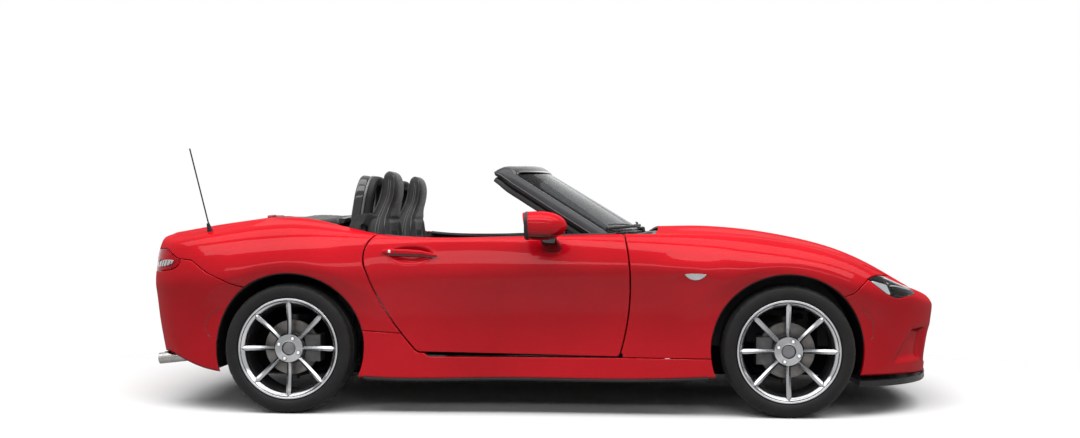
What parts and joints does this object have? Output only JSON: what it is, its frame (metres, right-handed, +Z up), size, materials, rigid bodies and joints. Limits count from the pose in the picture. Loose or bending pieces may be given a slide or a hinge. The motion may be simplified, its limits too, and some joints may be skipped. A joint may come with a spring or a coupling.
{
  "type": "roadster car",
  "caption": "Open two-seat roadster with stowed fabric top, hinged doors, bonnet and boot lid, rolling wheels and steered front wheels.",
  "frame": {"origin": "On the ground, under the middle of the overall length and width.", "axes": "+X forward, +Y to the car's left, +Z up."},
  "size_m": [3.9164, 2.122, 1.2517],
  "materials": {
    "paint": "deep metallic red under clear lacquer",
    "dark_trim": "grained black plastic",
    "under_metal": "satin black chassis paint",
    "steel": "machined steel",
    "alloy": "silver lacquered cast aluminium",
    "cast_metal": "rough cast metal",
    "tyre_rubber": "black tyre rubber",
    "clear_glass": "clear windscreen glass",
    "lamp_clear": "clear lamp cover over a dark housing",
    "lamp_red": "red lamp lens",
    "seat_leather": "black grained leather",
    "top_fabric": "black woven roof cloth",
    "cabin_plastic": "soft black cabin moulding",
    "exhaust_steel": "polished stainless steel",
    "satin_grey": "dark grey satin metal"
  },
  "bodies": {
    "root": {"front_fenders": "paint", "rear_quarters": "paint", "front_bumper": "paint", "rear_bumper": "paint", "grille": "dark_trim", "front_lip": "dark_trim", "wheel_liners": "dark_trim", "scuttle_panel": "dark_trim", "aerial": "dark_trim", "side_sills": "paint", "body_tub": "under_metal", "front_subframe": "under_metal", "rear_subframe": "under_metal", "engine_block": "cast_metal", "driveline": "cast_metal", "rear_uprights": "cast_metal", "radiator": "cast_metal", "windscreen_frame": "satin_grey", "windscreen_glass": "clear_glass", "headlamps": "lamp_clear", "tail_lamps": "lamp_red", "seats": "seat_leather", "folded_top": "top_fabric", "exhaust": "exhaust_steel", "dashboard": "cabin_plastic", "centre_console": "cabin_plastic", "steering_column": "cabin_plastic", "roll_hoops": "cabin_plastic"},
    "left_door": {"door_left": "paint", "mirror_left": "paint"},
    "right_door": {"door_right": "paint", "mirror_right": "paint"},
    "hood": {"bonnet": "paint"},
    "boot": {"boot_lid": "paint"},
    "left_knuckle": {"knuckle_front_left": "cast_metal"},
    "right_knuckle": {"knuckle_front_right": "cast_metal"},
    "steering": {"steering_wheel": "cabin_plastic"},
    "wheel_front_left": {"tyre_front_left": "tyre_rubber", "rim_front_left": "alloy", "brake_disc_front_left": "steel"},
    "wheel_front_right": {"tyre_front_right": "tyre_rubber", "rim_front_right": "alloy", "brake_disc_front_right": "steel"},
    "wheel_rear_left": {"tyre_rear_left": "tyre_rubber", "rim_rear_left": "alloy", "brake_disc_rear_left": "steel"},
    "wheel_rear_right": {"tyre_rear_right": "tyre_rubber", "rim_rear_right": "alloy", "brake_disc_rear_right": "steel"}
  },
  "joints": [
    {"name": "steer_left", "type": "hinge", "parent": "root", "child": "left_knuckle", "pos_m": [1.1675, 0.7105, 0.3025], "axis": [0, 0, 1], "range_deg": [-33, 33]},
    {"name": "steer_right", "type": "hinge", "parent": "root", "child": "right_knuckle", "pos_m": [1.1675, -0.7105, 0.3025], "axis": [0, 0, 1], "range_deg": [-33, 33]},
    {"name": "door_left_hinge", "type": "hinge", "parent": "root", "child": "left_door", "pos_m": [0.3835, 0.78, 0.55], "axis": [0, 0, -1], "range_deg": [0, 65]},
    {"name": "door_right_hinge", "type": "hinge", "parent": "root", "child": "right_door", "pos_m": [0.3835, -0.78, 0.55], "axis": [0, 0, 1], "range_deg": [0, 65]},
    {"name": "bonnet_hinge", "type": "hinge", "parent": "root", "child": "hood", "pos_m": [0.556, 0, 0.8], "axis": [0, -1, 0], "range_deg": [0, 46]},
    {"name": "boot_hinge", "type": "hinge", "parent": "root", "child": "boot", "pos_m": [-1.312, 0, 0.87], "axis": [0, 1, 0], "range_deg": [0, 72]},
    {"name": "steering_wheel_turn", "type": "hinge", "parent": "root", "child": "steering", "pos_m": [-0.062, 0.362, 0.742], "axis": [-0.9272, 0, 0.3746], "range_deg": [-495, 495]},
    {"name": "roll_front_left", "type": "hinge", "parent": "left_knuckle", "child": "wheel_front_left", "pos_m": [1.1675, 0.7475, 0.3025], "axis": [0, 1, 0], "continuous": true},
    {"name": "roll_front_right", "type": "hinge", "parent": "right_knuckle", "child": "wheel_front_right", "pos_m": [1.1675, -0.7475, 0.3025], "axis": [0, 1, 0], "continuous": true},
    {"name": "roll_rear_left", "type": "hinge", "parent": "root", "child": "wheel_rear_left", "pos_m": [-1.1425, 0.7525, 0.3025], "axis": [0, 1, 0], "continuous": true},
    {"name": "roll_rear_right", "type": "hinge", "parent": "root", "child": "wheel_rear_right", "pos_m": [-1.1425, -0.7525, 0.3025], "axis": [0, 1, 0], "continuous": true}
  ],
  "couplings": [
    {"joint": "steer_right", "follows": "steer_left", "ratio": 1},
    {"joint": "steering_wheel_turn", "follows": "steer_left", "ratio": 15}
  ]
}
